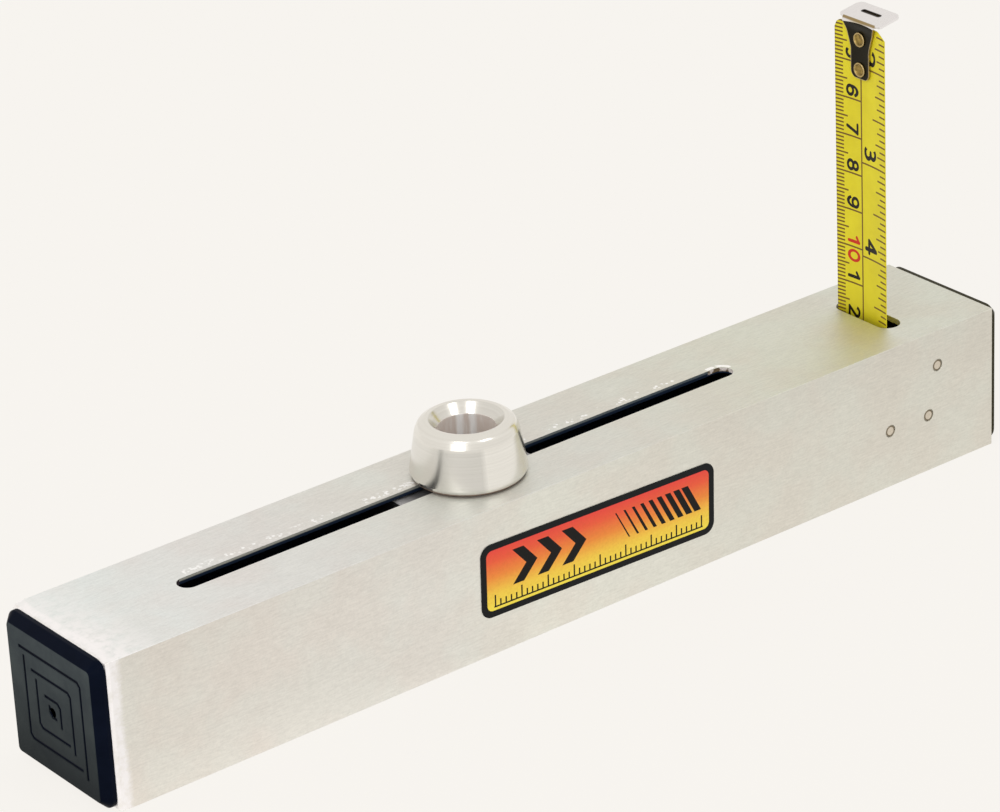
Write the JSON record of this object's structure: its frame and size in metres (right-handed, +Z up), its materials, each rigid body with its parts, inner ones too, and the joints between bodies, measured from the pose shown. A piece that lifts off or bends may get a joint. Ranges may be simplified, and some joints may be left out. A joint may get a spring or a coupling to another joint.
{
  "type": "chassis height gauge",
  "caption": "Square tube gauge for the floor: a knob slides a printed steel blade up through a cross slot to read a chassis height.",
  "frame": {"origin": "middle of the tube's base, on the floor", "axes": "+X along the tube from the knob end to the blade's end, +Y away from the labelled side, +Z up"},
  "size_m": [0.2768, 0.0383, 0.1191],
  "materials": {
    "brushed_aluminium": "brushed along the tube",
    "turned_aluminium": "turned and polished",
    "block_aluminium": "milled",
    "black_plastic": "satin moulded",
    "label_film": "printed film, warm gradient with a black border",
    "pin_steel": "ground",
    "screw_steel": "zinc plated",
    "clamp_steel": "sheared",
    "nylon": "natural",
    "brass": "satin",
    "tape_paint": "yellow enamel with printed scales",
    "hook_steel": "plated"
  },
  "bodies": {
    "body": {"tube_body": "brushed_aluminium", "knob_end_cap": "black_plastic", "tape_end_cap": "black_plastic", "label": "label_film", "block_pins": "pin_steel", "roller_pin": "pin_steel", "guide_block": "black_plastic", "roller_spacers": "nylon"},
    "slider": {"slider_block": "block_aluminium", "slot_bush": "brass", "knob_washer": "black_plastic", "knob": "turned_aluminium", "knob_screw": "screw_steel", "blade_clamp": "clamp_steel", "clamp_screws": "screw_steel"},
    "tape_end": {"tape_blade": "tape_paint", "hook_rivets": "brass"},
    "roller": {"guide_roller": "nylon"},
    "hook": {"tape_hook": "hook_steel"}
  },
  "joints": [
    {"name": "slider_slide", "type": "slide", "parent": "body", "child": "slider", "axis": [1, 0, 0], "range_m": [-0.079, 0.0795]},
    {"name": "tape_slide", "type": "slide", "parent": "body", "child": "tape_end", "axis": [0, 0, 1], "range_m": [-0.079, 0.0795], "deforming": ["tape_blade"]},
    {"name": "roller_spin", "type": "hinge", "parent": "body", "child": "roller", "pos_m": [0.0998, 0, 0.0154], "axis": [0, -1, 0], "range_deg": [-557, 557]},
    {"name": "hook_float", "type": "slide", "parent": "tape_end", "child": "hook", "axis": [0, 0, 1], "range_m": [-0.0009, 0]}
  ],
  "couplings": [
    {"joint": "tape_slide", "follows": "slider_slide", "ratio": 1},
    {"joint": "roller_spin", "follows": "slider_slide", "rad_per_m": 121.4}
  ]
}
